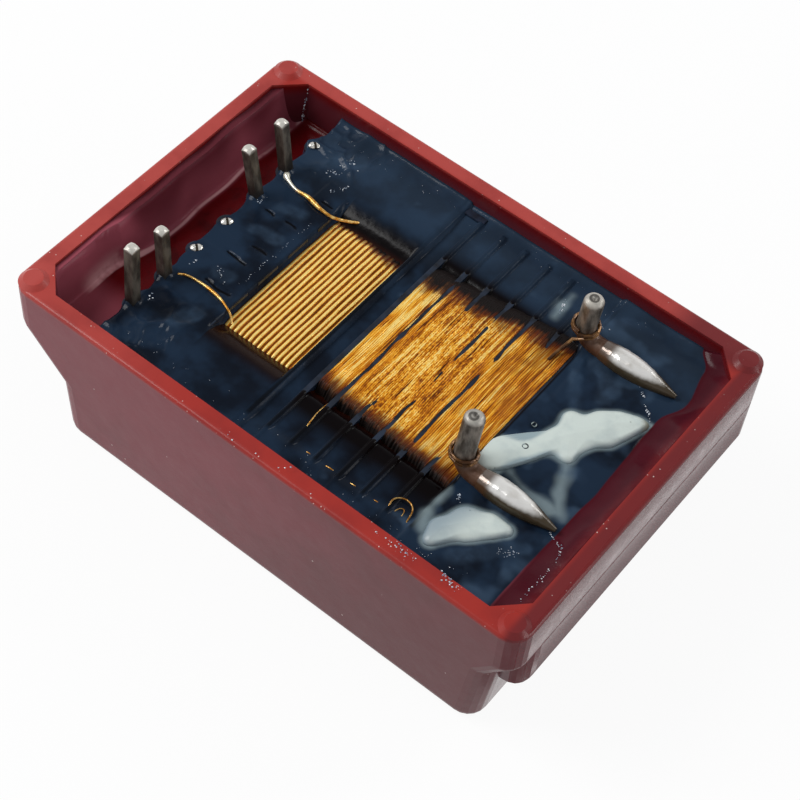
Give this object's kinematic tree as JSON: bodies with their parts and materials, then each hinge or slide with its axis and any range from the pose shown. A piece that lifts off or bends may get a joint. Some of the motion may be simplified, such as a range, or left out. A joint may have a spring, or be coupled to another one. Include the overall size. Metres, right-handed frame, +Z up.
{
  "type": "potted circuit board transformer",
  "caption": "Potted high-voltage circuit board transformer in an open moulded case, shown pins up, with a sectioned bobbin, square input pins and round output terminals.",
  "frame": {"origin": "middle of the closed underside of the case, which is the middle of the bounding box's bottom", "axes": "+Z up, the way the pins point; +X from the pin end to the output end along the long sides; +Y across"},
  "size_m": [0.034, 0.0228, 0.0143],
  "materials": {
    "case_red": "gloss",
    "resin": "gloss",
    "bobbin_black": "gloss",
    "ferrite": "matte",
    "enamelled_copper": "gloss",
    "tinned_wire": "satin",
    "solder": "bright",
    "white_adhesive": "satin"
  },
  "bodies": {
    "root": {"case": "case_red", "potting_resin": "resin", "bobbin": "bobbin_black", "core_bar": "ferrite", "primary_winding": "enamelled_copper", "secondary_coil_1": "enamelled_copper", "secondary_coil_2": "enamelled_copper", "secondary_coil_3": "enamelled_copper", "secondary_coil_4": "enamelled_copper", "secondary_coil_5": "enamelled_copper", "secondary_coil_6": "enamelled_copper", "pin_1": "tinned_wire", "pin_2": "tinned_wire", "pin_3": "tinned_wire", "pin_4": "tinned_wire", "cut_pin_1": "tinned_wire", "cut_pin_2": "tinned_wire", "cut_pin_3": "tinned_wire", "primary_lead_1": "enamelled_copper", "primary_lead_2": "enamelled_copper", "section_link_1": "enamelled_copper", "section_link_2": "enamelled_copper", "section_link_3": "enamelled_copper", "section_link_4": "enamelled_copper", "section_link_5": "enamelled_copper", "hv_terminal_1": "tinned_wire", "hv_terminal_2": "tinned_wire", "hv_solder_1": "solder", "hv_solder_2": "solder", "hv_lead_1": "enamelled_copper", "hv_lead_2": "enamelled_copper", "adhesive_bead_1": "white_adhesive", "adhesive_bead_2": "white_adhesive"}
  },
  "joints": []
}
